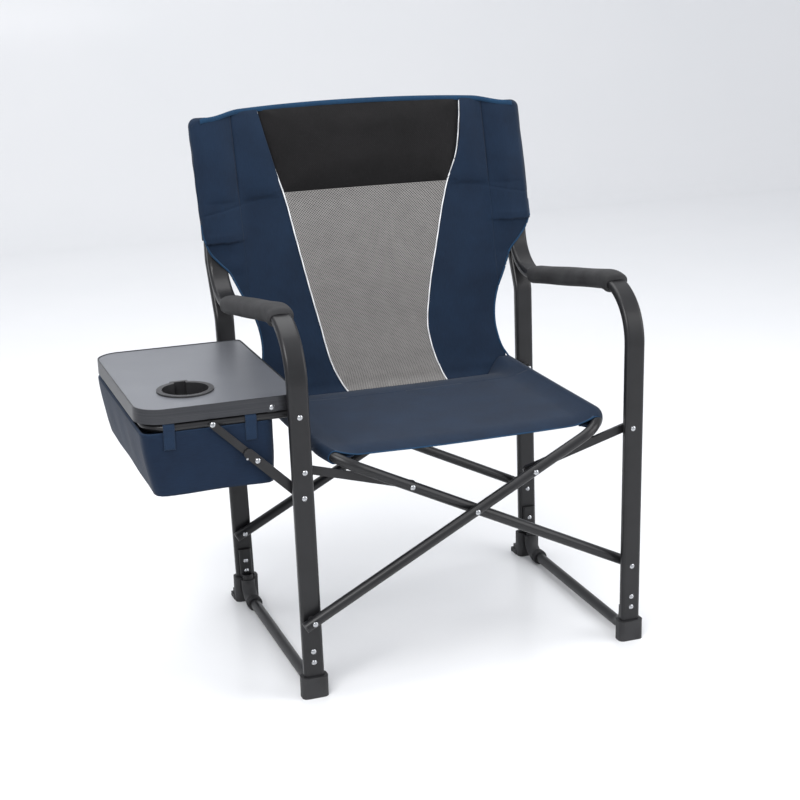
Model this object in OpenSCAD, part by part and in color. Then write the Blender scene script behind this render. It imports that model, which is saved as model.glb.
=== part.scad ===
// Folding camp chair with a fold-down side table and a cooler bag.
// X runs across the chair (the table is on the -X side), Y runs from front to back,
// Z is up and zero is the floor. The origin is the middle of the footprint.

/* [Stance] */
// Half the distance between the two side frames at the floor
half_span = 302; // [290:1:320]
// Outward splay of each side frame in degrees
splay = 0.7; // [0:0.1:1]
// Distance between the front and the rear foot
foot_depth = 456; // [446:1:466]
// Rearward lean of the front leg in degrees
front_lean = 1; // [0.5:0.1:1.5]
// Rearward lean of the rear leg in degrees
rear_lean = 3.7; // [3:0.1:4]

/* [Side tube] */
// Width of the flat-oval tube, across the chair
tube_w = 36; // [32:1:38]
// Thickness of the flat-oval tube
tube_t = 16; // [15:0.5:17]
// Wall thickness of every tube
tube_wall = 1.5; // [1:0.1:2]
// Height at which the line of the armrest meets the line of the front leg
arm_z = 669; // [660:1:680]
// Fall of the armrest towards the back in degrees
arm_fall = 9.3; // [8:0.1:11]
// Bend radius at the front of the armrest
front_bend = 100; // [95:1:105]
// Bend radius between the armrest and the upright
arm_bend = 88; // [84:1:90]
// Depth at which the upright stands before it reclines
upright_y = 526; // [520:1:532]
// Height at which the upright starts to recline
recline_z = 716; // [712:1:722]
// Recline of the upright in degrees
recline = 15.4; // [12:0.1:17]
// Height of the top of the upright
upright_top = 912; // [890:1:930]

/* [Cross frame] */
// Outside radius of the cross tubes
cross_r = 9.5; // [8:0.1:9.5]
// Height of the lower pivots
pivot_z = 143; // [141:1:145]
// Angle of the cross arms above level when the chair stands open
open_angle = 26.4; // [25:0.1:28]
// Angle of the cross arms when the chair is folded
folded_angle = 78; // [74:1:78]
// Distance from the centre pivot to the seat rail
rail_reach = 288; // [280:1:290]
// Distance from the centre pivot to the link rivet
link_reach = 125.6; // [120:0.1:130]
// Bend radius at the ends of each seat rail
rail_bend = 60; // [50:1:62]

/* [Side table] */
// Height of the table top
table_z = 533; // [530:1:536]
// Width of the table across the chair
table_w = 272; // [260:1:276]
// Depth of the table from front to back
table_d = 402; // [396:1:404]
// Height of the table's edge band
band_h = 25; // [22:1:26]
// Radius of the outer table corners
table_corner = 45; // [35:1:50]
// Inside radius of the cup holder
cup_r = 39; // [36:1:40]
// Height of the table's pivot
hinge_z = 499.5; // [498:0.5:500]
// Radius of the table's support loop
loop_r = 6.5; // [6:0.1:6.5]
// Height of the brace's pivot on the leg
brace_z = 359.6; // [356:0.1:362]
// Length of each brace bar between its rivets
brace_len = 99.9; // [99.5:0.1:100.5]

/* [Soft parts] */
// Thickness of the seat and back cloth
cloth = 2.5; // [2:0.1:3]
// Height of the cooler bag's bottom
bag_z = 385; // [375:1:400]
// Thickness of the bag's insulated walls
bag_wall = 2.5; // [2:0.1:3]

/* [Hidden] */
$fn = 64;

left = -1;
right = 1;
// Clearance between parts that only lie next to each other
gap = 0.3;
// Radial clearance of a rivet in its bore
fit = 0.05;
frame_black = [0.10, 0.10, 0.11];
rubber_black = [0.05, 0.05, 0.05];
zinc = [0.75, 0.76, 0.78];
navy = [0.10, 0.17, 0.28];

rivet_r = 3;
head_r = 4.6;
head_h = 2.2;
half_t = tube_t / 2;

// Side tube: corners of its centre line as [y, z]
front_slope = tan(front_lean);
rear_slope = tan(rear_lean);
arm_front_y = arm_z * front_slope;
arm_rear_z = arm_z - (upright_y - arm_front_y) * tan(arm_fall);
upright_top_y = upright_y + (upright_top - recline_z) * tan(recline);
foot_floor = 8;
side_path = [[foot_floor * front_slope, foot_floor], [arm_front_y, arm_z],
             [upright_y, arm_rear_z], [upright_y, recline_z], [upright_top_y, upright_top]];
side_radii = [0, front_bend, arm_bend, 60, 0];

// Rear leg: it leans past the outside of the arm bend and then runs up behind the upright
upper_lean = 26;
bend_centre = [upright_y - arm_bend, arm_rear_z + arm_bend * tan((90 + arm_fall) / 2)];
leg_offset = arm_bend + tube_t + gap;
kink_z = ((foot_depth - bend_centre[0]) * cos(upper_lean) + bend_centre[1] * sin(upper_lean)
          - leg_offset) / (sin(upper_lean) - rear_slope * cos(upper_lean));
kink_y = foot_depth + kink_z * rear_slope;
leg_top_y = upright_y + tube_t + gap;
shoulder_z = kink_z + (leg_top_y - kink_y) / tan(upper_lean);
leg_top_z = recline_z - 16;
leg_path = [[foot_depth + foot_floor * rear_slope, foot_floor], [kink_y, kink_z],
            [leg_top_y, shoulder_z], [leg_top_y, leg_top_z]];
leg_radii = [0, 40, 40, 0];

// Floor rail: centre line as [y, z] in a side frame
rail_r = 10;
rail_z = 15;
rail_bend_r = 30;
rail_offset = half_t + rail_r + 1.4;
rail_front_y = rail_offset + rail_z * front_slope;
rail_rear_y = foot_depth - rail_offset + rail_z * rear_slope;
rail_path = [on_leg(0, front_lean, rail_offset, 57), [rail_front_y, rail_z],
             [rail_rear_y, rail_z], on_leg(foot_depth, rear_lean, -rail_offset, 57)];
rail_radii = [0, rail_bend_r, rail_bend_r, 0];
rail_rivets = [64, 84];
tongue_t = 7;

// Cross frame: a is the arm from the lower pivot to the centre pivot
pivot_x = half_span + pivot_z * tan(splay);
arm_a = pivot_x / cos(open_angle);
centre_z = pivot_z + arm_a * sin(open_angle);
rail_x = rail_reach * cos(open_angle);
seat_rail_z = centre_z + rail_reach * sin(open_angle);
// The link closes on its arm both open and folded at this height of its pivot on the leg
link_z = pivot_z + 2 * arm_a * link_reach * (sin(folded_angle) + sin(open_angle))
         / (arm_a + link_reach);
stud_x = link_reach * cos(open_angle);
stud_z = centre_z + link_reach * sin(open_angle);
arm_tail = 15;
// Depths of the arms' centre lines, [at the lower pivot, at the centre pivot]
a_front = [-17.6, -2.5];
a_rear = [444.8, 461.8];
b_front = [27, 17.7];
b_rear = [497.5, 482];
// Depths [low, high] of the links
link_a_front_y = [16.6, 22.4];
link_b_front_y = [25.2, 29];
link_rear_y = [448.4, 454.2];

// Side table, in the chair's own X
table_x = -297;
table_y = 28;
hinge_x = -half_span - hinge_z * tan(splay);
loop_front_y = 34;
loop_rear_y = 440;
loop_out = 245;
brace_x = -half_span - brace_z * tan(splay);
brace_span = 2 * brace_len;
// The brace's upper rivet lies level with the table pivot, where the open brace is straight
brace_top_x = brace_x - sqrt(pow(brace_span, 2) - pow(hinge_z - brace_z, 2));
elbow_x = (brace_x + brace_top_x) / 2;
elbow_z = (brace_z + hinge_z) / 2;
lower_front_y = [17.4, 20.2];
upper_front_y = [20.6, 23.4];
lower_rear_y = [450.4, 453.2];
upper_rear_y = [447.2, 450];
fix_x = -347;
fix_z = 515;
cup_x = -468;
cup_y = 129;
board_t = 9;
pocket_h = 52;

// Back cloth: corners of its plane as [y, z], then its two lengths
crease = [455, 398];
back_foot = [upright_y - 1, recline_z];
lower_tilt = heading(crease, back_foot);
lower_run = norm(back_foot - crease);
upper_run = (upright_top + 8 - recline_z) / cos(recline);
crown = 24;

// Middle of the footprint. The dimensions above have their zero half way between the side
// frames and at the front feet
sleeve_x = tube_w / 2 + gap + cloth;
sleeve_y = half_t + gap + cloth;
right_edge = half_span + (upright_top + 7) * sin(splay) + sleeve_x * cos(splay);
front_edge = a_front[0] - cross_r - gap - head_h;
back_edge = upright_y + (upper_run - 1) * sin(recline) + sleeve_y * cos(recline);
mid_x = (table_x - table_w + right_edge) / 2;
mid_y = (front_edge + back_edge) / 2;

// ---------------------------------------------------------------- helpers

// Gives a finished part its colour and moves it to the shared origin
module made(tone) color(tone) translate([-mid_x, -mid_y, 0]) children();

// The plane of one side frame, tilted outwards about the line of its feet
module side(s) translate([s * half_span, 0, 0]) rotate([0, s * splay, 0]) children();

// A point on a leg's plane: off is the distance behind its centre line, h the distance up it
function on_leg(foot_y, lean, off, h) =
    [foot_y + off * cos(lean) + h * sin(lean), h * cos(lean) - off * sin(lean)];

// Depth of a cross arm at a distance along it from its lower pivot
function arm_y(ends, along) = ends[0] + (ends[1] - ends[0]) * along / arm_a;

// Rectangle with round corners
module oval(w, t, r) {
    square([w - 2 * r, t], center = true);
    square([w, t - 2 * r], center = true);
    for (x = [-1, 1], y = [-1, 1])
        translate([x * (w / 2 - r), y * (t / 2 - r)]) circle(r);
}

// Sections for bent(), which sets $swell to the extra wall on each side of the section
module oval_tube() difference() {
    oval(tube_w + 2 * $swell, tube_t + 2 * $swell, 6 + $swell);
    oval(tube_w - 2 * tube_wall - 2 * $swell, tube_t - 2 * tube_wall - 2 * $swell, 6 - tube_wall - $swell);
}

module round_tube(r) difference() {
    circle(r + $swell);
    circle(r - tube_wall - $swell);
}

module round_bar(r) circle(r + $swell);

// Heading of the step from p to q, in degrees from +Z towards +Y
function heading(p, q) = atan2(q[0] - p[0], q[1] - p[1]);
function wrap(a) = a > 180 ? a - 360 : a < -180 ? a + 360 : a;
function turn(path, i) = wrap(heading(path[i], path[i + 1]) - heading(path[i - 1], path[i]));
function trim(path, radii, i) =
    i == 0 || i == len(path) - 1 ? 0 : radii[i] * tan(abs(turn(path, i)) / 2);

// Bends the section drawn by the children from +Z towards +Y
module bend(radius, angle) {
    if (angle < 0)
        mirror([0, 1, 0]) bend(radius, -angle) children();
    else
        translate([0, radius, 0]) rotate([90, 0, -90])
            rotate_extrude(angle = angle) translate([radius, 0]) rotate(90) children();
}

// Runs the section drawn by the children along a bent centre line of [y, z] corners.
// Each straight laps a little way into its bends, which have a hair more wall.
module bent(path, radii, lap = 0.7) {
    for (i = [0 : len(path) - 2]) {
        start = trim(path, radii, i) - (i > 0 ? lap : 0);
        stop = trim(path, radii, i + 1) - (i < len(path) - 2 ? lap : 0);
        $swell = 0;
        translate([0, path[i][0], path[i][1]]) rotate([-heading(path[i], path[i + 1]), 0, 0])
            translate([0, 0, start]) linear_extrude(norm(path[i + 1] - path[i]) - start - stop) children();
    }
    for (i = [1 : len(path) - 2]) {
        $swell = 0.05;
        h = heading(path[i - 1], path[i]);
        back = trim(path, radii, i);
        translate([0, path[i][0] - back * sin(h), path[i][1] - back * cos(h)])
            rotate([-h, 0, 0]) bend(radii[i], turn(path, i)) children();
    }
}

// Round bar along Y at [x, z]
module bar_y(at, y0, y1, r) translate([at[0], y1, at[1]]) rotate([90, 0, 0]) cylinder(r = r, h = y1 - y0);

// Domed rivet head on the plane y, bulging towards dir
module head(at, y, dir) translate([at[0], y, at[1]]) rotate([-90 * dir, 0, 0])
    rotate_extrude() intersection() {
        translate([0, head_h - head_h * 3]) circle(head_h * 3);
        square([head_r, head_h]);
    }

// Rivet along Y with a domed head at each end
module rivet(at, y0, y1) {
    bar_y(at, y0 - 0.8, y1 + 0.8, rivet_r);
    head(at, y0, -1);
    head(at, y1, 1);
}

module ring_y(at, y0, y1, r) difference() {
    bar_y(at, y0, y1, r);
    bar_y(at, y0 - 1, y1 + 1, rivet_r + fit);
}

module bore(at, y0, y1) bar_y(at, y0, y1, rivet_r + fit);

// Places a leg-height z of a side frame at its [x, z]
function leg_at(s, z) = [s * (half_span + z * tan(splay)), z];
function front_face(z) = z * front_slope - half_t / cos(front_lean);
function front_back(z) = z * front_slope + half_t / cos(front_lean);
function rear_face(z) = foot_depth + z * rear_slope - half_t / cos(rear_lean);
function rear_back(z) = foot_depth + z * rear_slope + half_t / cos(rear_lean);

// ---------------------------------------------------------------- side frames

module pivot_bores(s) {
    bore([s * pivot_x, pivot_z], -40, 520);
    bore([s * pivot_x, link_z], -40, 520);
}

module table_bores() {
    bore([hinge_x, hinge_z], -40, 540);
    bore([brace_x, brace_z], -40, 540);
}

module rail_bores(s, y0, y1) for (z = rail_rivets) bore(leg_at(s, z), y0, y1);

// Heights of the rivets that join the rear leg to the side tube
upright_rivets = [672, 692];

module side_tube(s) difference() {
    side(s) bent(side_path, side_radii) oval_tube();
    pivot_bores(s);
    rail_bores(s, -20, 40);
    for (z = upright_rivets) bore(leg_at(s, z), 500, 560);
    if (s == left) table_bores();
}

module rear_leg(s) difference() {
    side(s) bent(leg_path, leg_radii) oval_tube();
    pivot_bores(s);
    rail_bores(s, 430, 490);
    for (z = upright_rivets) bore(leg_at(s, z), 500, 570);
    if (s == left) table_bores();
}

module rail_tongue(foot_y, lean, off) {
    at = on_leg(foot_y, lean, off, 52);
    translate([0, at[0], at[1]]) rotate([-lean, 0, 0]) linear_extrude(54) oval(24, tongue_t, 3);
}

module floor_rail(s) difference() {
    side(s) {
        bent(rail_path, rail_radii) round_tube(rail_r);
        rail_tongue(0, front_lean, half_t + 0.1 + tongue_t / 2);
        rail_tongue(foot_depth, rear_lean, -half_t - 0.1 - tongue_t / 2);
    }
    rail_bores(s, -20, 500);
}

module floor_rail_space() bent(rail_path, rail_radii) round_bar(rail_r + gap);

// Pocket for the foot of a leg
module leg_pocket(foot_y, lean) translate([0, foot_y, 0]) rotate([-lean, 0, 0])
    translate([0, 0, foot_floor]) linear_extrude(60) oval(tube_w + 0.1, tube_t + 0.1, 6.05);

module front_foot(s) difference() {
    translate([s * (half_span + 0.3), 0.4, 0]) linear_extrude(38) oval(47, 27, 9);
    side(s) {
        leg_pocket(0, front_lean);
        floor_rail_space();
    }
}

// Moulded boot: a cup on the leg, a flared toe behind it and a ribbed gaiter on the rail's bend
module rear_boot(s) difference() {
    union() {
        translate([s * (half_span + 0.3), foot_depth, 0]) {
            translate([0, 1.5, 0]) linear_extrude(50) oval(46, 27, 9);
            translate([-24, 4, 0]) cube([48, 26, 9]);
            translate([-21, 4, 0]) cube([42, 20, 18]);
        }
        side(s) {
            bent([on_leg(foot_depth, rear_lean, -rail_offset, 47), [rail_rear_y, rail_z],
                  [rail_rear_y - 44, rail_z]], [0, rail_bend_r, 0]) round_bar(13.2);
            for (y = [34 : 5 : 44])
                translate([0, rail_rear_y - y, rail_z]) rotate([90, 0, 0]) cylinder(r = 14.6, h = 2.4);
        }
    }
    side(s) {
        leg_pocket(foot_depth, rear_lean);
        floor_rail_space();
    }
}

module plug(at, lean, depth) translate([0, at[0], at[1]]) rotate([-lean, 0, 0]) {
    translate([0, 0, 0.05]) linear_extrude(3) oval(tube_w, tube_t, 6);
    translate([0, 0, -depth]) linear_extrude(depth + 0.05)
        oval(tube_w - 2 * tube_wall - 0.1, tube_t - 2 * tube_wall - 0.1, 6 - tube_wall);
}

module tube_plugs(s) side(s) {
    plug(side_path[4], recline, 12);
    plug(leg_path[3], 0, 4);
}

// Foam sleeve: it starts on the front bend and runs to the back of the armrest
module arm_pad(s) side(s) {
    h = 90 + arm_fall;
    reach = trim(side_path, side_radii, 1);
    translate([0, arm_front_y + reach * sin(h), arm_z + reach * cos(h)]) {
        rotate([-h, 0, 0]) linear_extrude(302) pad_ring();
        rotate([180 - h, 0, 0]) bend(front_bend, -24) pad_ring();
    }
}

module pad_ring() difference() {
    oval(46, 34, 16);
    oval(tube_w + 0.5, tube_t + 0.5, 6.25);
}

module frame_rivets(s) {
    for (z = rail_rivets) {
        rivet(leg_at(s, z), front_face(z) - 0.1, front_back(z) + tongue_t + 0.4);
        rivet(leg_at(s, z), rear_face(z) - tongue_t - 0.8, rear_back(z) + 0.7);
    }
    for (z = upright_rivets)
        rivet(leg_at(s, z), upright_y - half_t - (z < 690 ? 3.1 : 0.2), leg_top_y + half_t + 0.2);
}

// ---------------------------------------------------------------- cross frame

// s is -1 for the tube that is hinged on the left frame, 1 for the other
module cross_plane(s) translate([s * pivot_x, 0, pivot_z]) rotate([0, -s * (90 - open_angle), 0]) children();

// Corners of the U as [y, distance along the arm]
function cross_path(front, rear) = let (far = arm_a + rail_reach)
    [[arm_y(front, -arm_tail), -arm_tail], [arm_y(front, far), far],
     [arm_y(rear, far), far], [arm_y(rear, -arm_tail), -arm_tail]];

module cross_tube(s, front, rear) cross_plane(s) difference() {
    bent(cross_path(front, rear), [0, rail_bend, rail_bend, 0]) round_tube(cross_r);
    for (along = [0, arm_a, arm_a + link_reach]) bore([0, along], -60, 540);
}

module cross_plug(y, slope) translate([0, y, -arm_tail]) rotate([-atan(slope), 0, 0]) {
    translate([0, 0, -2.55]) cylinder(r = cross_r, h = 2.5);
    translate([0, 0, -0.1]) cylinder(r = cross_r - tube_wall - 0.05, h = 9);
}

module cross_plugs(s, front, rear) cross_plane(s) {
    cross_plug(arm_y(front, -arm_tail), (front[1] - front[0]) / arm_a);
    cross_plug(arm_y(rear, -arm_tail), (rear[1] - rear[0]) / arm_a);
}

module lower_pivots_left() {
    at = [-pivot_x, pivot_z];
    made(zinc) {
        rivet(at, a_front[0] - cross_r - gap, front_back(pivot_z) + 0.3);
        rivet(at, a_rear[0] - cross_r - gap, rear_back(pivot_z) + 0.5);
    }
}

module lower_pivots_right() {
    at = [pivot_x, pivot_z];
    made(zinc) {
        rivet(at, front_face(pivot_z) - 0.2, b_front[0] + cross_r + gap);
        rivet(at, rear_face(pivot_z) - 0.4, b_rear[0] + cross_r + gap);
    }
}

// Spacers between the legs and the arms or links that turn on them
module pivot_spacers_left() {
    low = [-pivot_x, pivot_z];
    high = [-pivot_x, link_z];
    made(rubber_black) {
        ring_y(low, a_front[0] + cross_r + 0.5, front_face(pivot_z) - 0.2, 7);
        ring_y(low, a_rear[0] + cross_r + 0.6, rear_face(pivot_z) - 0.5, 7);
        ring_y(high, front_back(link_z) + 0.2, link_b_front_y[0] - 0.2, 6);
        ring_y(high, link_rear_y[1] + 0.2, rear_face(link_z) - 0.5, 6);
        ring_y([hinge_x, hinge_z], front_back(hinge_z) + 0.2, loop_front_y - loop_r - 0.3, 6);
        ring_y([hinge_x, hinge_z], loop_rear_y + loop_r + 0.3, rear_face(hinge_z) - 0.5, 6);
        ring_y([brace_x, brace_z], front_back(brace_z) + 0.2, lower_front_y[0] - 0.2, 6);
        ring_y([brace_x, brace_z], lower_rear_y[1] + 0.2, rear_face(brace_z) - 0.5, 6);
    }
}

module pivot_spacers_right() {
    low = [pivot_x, pivot_z];
    high = [pivot_x, link_z];
    made(rubber_black) {
        ring_y(low, front_back(pivot_z) + 0.2, b_front[0] - cross_r - 0.5, 7);
        ring_y(low, rear_back(pivot_z) + 0.5, b_rear[0] - cross_r - 0.6, 7);
        ring_y(high, front_back(link_z) + 0.2, link_a_front_y[0] - 0.2, 6);
        ring_y(high, link_rear_y[1] + 0.2, rear_face(link_z) - 0.5, 6);
    }
}

module link_pivots_left() {
    at = [-pivot_x, link_z];
    made(zinc) {
        rivet(at, front_face(link_z) - 0.2, link_b_front_y[1] + 0.2);
        rivet(at, link_rear_y[0] - 0.2, rear_back(link_z) + 0.5);
    }
}

module link_pivots_right() {
    at = [pivot_x, link_z];
    made(zinc) {
        rivet(at, front_face(link_z) - 0.2, link_a_front_y[1] + 0.2);
        rivet(at, link_rear_y[0] - 0.2, rear_back(link_z) + 0.5);
    }
}

module centre_pivots() {
    at = [0, centre_z];
    made(zinc) {
        rivet(at, a_front[1] - cross_r - 0.3, b_front[1] + cross_r + 0.3);
        rivet(at, a_rear[1] - cross_r - 0.3, b_rear[1] + cross_r + 0.4);
    }
}

module centre_washers() made(rubber_black) {
    ring_y([0, centre_z], a_front[1] + cross_r + 0.4, b_front[1] - cross_r - 0.4, 5);
    ring_y([0, centre_z], a_rear[1] + cross_r + 0.4, b_rear[1] - cross_r - 0.4, 5);
}

// Rivet that fills an arm's bore and stops short of the link, with its head on the outer side
module link_stud(x, y, dir) {
    head([x, stud_z], y + dir * (cross_r + 0.3), dir);
    bar_y([x, stud_z], y - cross_r - (dir < 0 ? 1 : 0.3), y + cross_r + (dir < 0 ? 0.3 : 1), rivet_r);
}

module link_studs(x, front, rear) made(zinc) {
    link_stud(x, arm_y(front, arm_a + link_reach), -1);
    link_stud(x, arm_y(rear, arm_a + link_reach), 1);
}

// Flat bar between two [x, z] points, round at both ends, drilled at its rivets
module strap(from, to, ys, w, past) {
    run = to - from;
    translate([from[0], ys[0], from[1]]) rotate([0, -atan2(run[1], run[0]), 0]) difference() {
        union() {
            translate([0, 0, -w / 2]) cube([norm(run) + past, ys[1] - ys[0], w]);
            for (x = [0, norm(run) + past])
                translate([x, 0, 0]) rotate([-90, 0, 0]) cylinder(r = w / 2, h = ys[1] - ys[0]);
        }
        for (x = [0, norm(run)]) bore([x, 0], -1, 9);
    }
}

module link(s, ys) made(frame_black) strap([s * pivot_x, link_z], [s * stud_x, stud_z], ys, 15, 6);

// Formed tails of the link rivets, on the links' inner side
module link_tails(s, front) made(zinc) {
    at = [s * stud_x, stud_z];
    bar_y(at, front[1] - 4, front[1] + 1, rivet_r);
    head(at, front[1] + 0.2, 1);
    bar_y(at, link_rear_y[0] - 1, link_rear_y[0] + 4, rivet_r);
    head(at, link_rear_y[0] - 0.2, -1);
}

// ---------------------------------------------------------------- cloth

// Seat cloth over the rails, with a tubular sleeve round each rail
module seat_sling() made(navy) {
    front_y = 74;
    back_y = 345;
    top_z = seat_rail_z + cross_r + gap;
    translate([-rail_x, 28, top_z]) cube([2 * rail_x, 412, cloth]);
    for (s = [-1, 1])
        translate([s * rail_x, back_y, seat_rail_z]) rotate([90, 0, 0]) difference() {
            cylinder(r = cross_r + gap + cloth, h = back_y - front_y);
            translate([0, 0, -1]) cylinder(r = cross_r + gap, h = back_y - front_y + 2);
        }
}

// Draws the children on the plane of the lower or upper back, X across and Y up the cloth
module on_lower_back() translate([0, crease[0], crease[1]]) rotate([90 - lower_tilt, 0, 0]) children();
module on_upper_back() translate([0, back_foot[0], back_foot[1]]) rotate([90 - recline, 0, 0]) children();

module back_sling() made(navy) {
    inner = half_span + recline_z * tan(splay) - tube_w / 2 - 1;
    on_lower_back() linear_extrude(cloth) polygon([[-200, 0], [200, 0], [243, 0.42 * lower_run],
        [inner, 0.9 * lower_run], [inner, lower_run], [-inner, lower_run],
        [-inner, 0.9 * lower_run], [-243, 0.42 * lower_run]]);
    on_upper_back() linear_extrude(cloth) polygon([[-inner, 0], [inner, 0], [inner, upper_run],
        [220, upper_run + crown * 0.6], [110, upper_run + crown], [-110, upper_run + crown],
        [-220, upper_run + crown * 0.6], [-inner, upper_run]]);
    for (s = [-1, 1])
        side(s) translate([0, upright_y, recline_z]) rotate([-recline, 0, 0])
            translate([0, 0, 12]) linear_extrude(upper_run - 13) difference() {
                oval(2 * sleeve_x, 2 * sleeve_y, 8.8);
                oval(tube_w + 2 * gap, tube_t + 2 * gap, 6.3);
            }
}

// Half width of the centre panel between the two pipings, at a share of the back's height
function panel_half(share) = 102 + 50 * share;

module headrest_pad() made([0.08, 0.07, 0.08])
    on_upper_back() translate([0, 0, cloth + gap]) linear_extrude(13)
        polygon([[-133.5, 30], [133.5, 30], [148, upper_run - 8], [-148, upper_run - 8]]);

module mesh_panel() made([0.62, 0.60, 0.58]) {
    on_lower_back() translate([0, 0, cloth + gap]) linear_extrude(1.2)
        polygon([[-100, 6], [100, 6], [130, lower_run - 2], [-130, lower_run - 2]]);
    on_upper_back() translate([0, 0, cloth + gap]) linear_extrude(1.2)
        translate([-130, 4]) square([260, 22]);
}

module cord_run(from, to, r) {
    run = to - from;
    translate([from[0], from[1], 0]) rotate([0, 0, atan2(run[1], run[0])]) rotate([0, 90, 0])
        cylinder(r = r, h = norm(run));
}

module piping() made([0.9, 0.9, 0.9]) for (s = [-1, 1]) {
    on_lower_back() translate([0, 0, cloth + gap + 1.6]) cord_run([s * 103, 6], [s * 133, lower_run - 4], 1.5);
    on_upper_back() translate([0, 0, cloth + gap + 1.6]) cord_run([s * 134, 4], [s * 151, upper_run - 8], 1.5);
}

// ---------------------------------------------------------------- side table

// Outline of the table: large round corners outwards, small ones beside the legs
module table_outline(inset) {
    w = table_w - 2 * inset;
    d = table_d - 2 * inset;
    big = table_corner - inset;
    small = 12 - inset;
    translate([table_x - inset, table_y + inset]) {
        translate([-w + big, 0]) square([w - big - small, d]);
        translate([-w, big]) square([w, d - 2 * big]);
        translate([-w + big, small]) square([w - big, d - 2 * small]);
        for (y = [big, d - big]) translate([big - w, y]) circle(big);
        for (y = [small, d - small]) translate([-small, y]) circle(small);
    }
}

module cup_slot(grow) translate([cup_x - 10 - grow, cup_y]) square([20 + 2 * grow, cup_r + 7 + grow]);

module table_board() made([0.6, 0.61, 0.63]) difference() {
    translate([0, 0, table_z - board_t - 1]) linear_extrude(board_t) difference() {
        table_outline(2.1);
        translate([cup_x, cup_y]) circle(cup_r + 2.3);
        cup_slot(2.3);
    }
}

module table_band() made([0.25, 0.26, 0.28]) difference() {
    translate([0, 0, table_z - band_h]) linear_extrude(band_h) difference() {
        table_outline(0);
        table_outline(2);
    }
    for (y = [table_y, table_y + table_d]) bore([fix_x, fix_z], y - 5, y + 5);
}

// Cup pocket with a flange on the table and a slot at the back for a mug's handle
module cup_holder() made(rubber_black) translate([cup_x, cup_y, 0]) difference() {
    union() {
        translate([0, 0, table_z - 0.9]) cylinder(r = cup_r + 9, h = 2.9);
        translate([0, 0, table_z - pocket_h]) cylinder(r = cup_r + 2, h = pocket_h);
        translate([-12, 0, table_z - pocket_h]) cube([24, cup_r + 9, pocket_h]);
        translate([-15, cup_r, table_z - 0.9]) cube([30, 14, 2.9]);
    }
    translate([0, 0, table_z - pocket_h + 2]) cylinder(r = cup_r, h = pocket_h + 2);
    translate([-10, 0, table_z - pocket_h + 2]) cube([20, cup_r + 7, pocket_h + 2]);
    translate([0, 0, table_z - pocket_h - 1]) cylinder(r = 9, h = 5);
}

module table_loop() made(frame_black) difference() {
    translate([hinge_x, 0, hinge_z]) rotate([0, -90, 0])
        bent([[loop_front_y, -9], [loop_front_y, loop_out], [loop_rear_y, loop_out], [loop_rear_y, -9]],
             [0, 40, 40, 0]) round_tube(loop_r);
    bore([hinge_x, hinge_z], 0, 480);
    bore([brace_top_x, hinge_z], 0, 480);
    translate([fix_x - 8.2, loop_front_y - 2.7, hinge_z]) cube([16.4, 4.4, 20]);
}

// Brackets that stand on the loop inside the table's edge band
module table_brackets() made(frame_black) difference() {
    union() {
        translate([fix_x - 8, loop_front_y - 2.5, hinge_z + 4]) cube([16, 4, 19]);
        translate([fix_x - 8, table_y + table_d - 7, hinge_z + loop_r + 0.1]) cube([16, 17, 1.5]);
        translate([fix_x - 8, table_y + table_d - 7, hinge_z + loop_r + 0.1]) cube([16, 4, 16]);
    }
    bore([fix_x, fix_z], 0, 480);
}

module table_rivets() made(zinc) {
    rivet([fix_x, fix_z], table_y - 0.1, loop_front_y + 1.6);
    rivet([fix_x, fix_z], table_y + table_d - 7.1, table_y + table_d + 0.1);
}

module table_pivots() made(zinc) {
    rivet([hinge_x, hinge_z], front_face(hinge_z) - 0.2, loop_front_y + loop_r + 0.3);
    rivet([hinge_x, hinge_z], loop_rear_y - loop_r - 0.3, rear_back(hinge_z) + 0.5);
}

module brace_lower(ys) made(frame_black) strap([brace_x, brace_z], [elbow_x, elbow_z], ys, 17, 20);
module brace_upper(ys) made(frame_black) strap([brace_top_x, hinge_z], [elbow_x, elbow_z], ys, 12.5, 3);

// Elbow rivets and stop pins, all carried by the lower bars
module brace_elbows() made(zinc) {
    run = [brace_x - brace_top_x, brace_z - hinge_z] / brace_span;
    pin = [elbow_x - 17 * run[0] + 8.4 * run[1], elbow_z - 17 * run[1] - 8.4 * run[0]];
    head([elbow_x, elbow_z], lower_front_y[0] - 0.2, -1);
    bar_y([elbow_x, elbow_z], lower_front_y[0] - 1, lower_front_y[1] + 0.1, rivet_r);
    head([elbow_x, elbow_z], lower_rear_y[1] + 0.2, 1);
    bar_y([elbow_x, elbow_z], lower_rear_y[0] - 0.1, lower_rear_y[1] + 1, rivet_r);
    bar_y(pin, lower_front_y[0] - 1.6, lower_front_y[0], 1.8);
    bar_y(pin, lower_rear_y[1], lower_rear_y[1] + 1.6, 1.8);
}

// Rivets that hold the upper bars on the table's loop, each with its spacer
module brace_studs() made(zinc) {
    at = [brace_top_x, hinge_z];
    rivet(at, upper_front_y[0] - 0.2, loop_front_y + loop_r + 0.3);
    bar_y(at, upper_front_y[1] + 0.2, loop_front_y - loop_r - 0.2, 5);
    rivet(at, loop_rear_y - loop_r - 0.3, upper_rear_y[1] + 0.2);
    bar_y(at, loop_rear_y + loop_r + 0.2, upper_rear_y[0] - 0.2, 5);
}

// Rivets that hold the lower bars on the legs
module brace_pivots() made(zinc) {
    rivet([brace_x, brace_z], front_face(brace_z) - 0.2, lower_front_y[1] + 0.2);
    rivet([brace_x, brace_z], lower_rear_y[0] - 0.2, rear_back(brace_z) + 0.5);
}

// ---------------------------------------------------------------- cooler bag

bag_x = [-562, -345];
bag_y = [29, 445.2];
bag_top = hinge_z - loop_r - 2;

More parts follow.
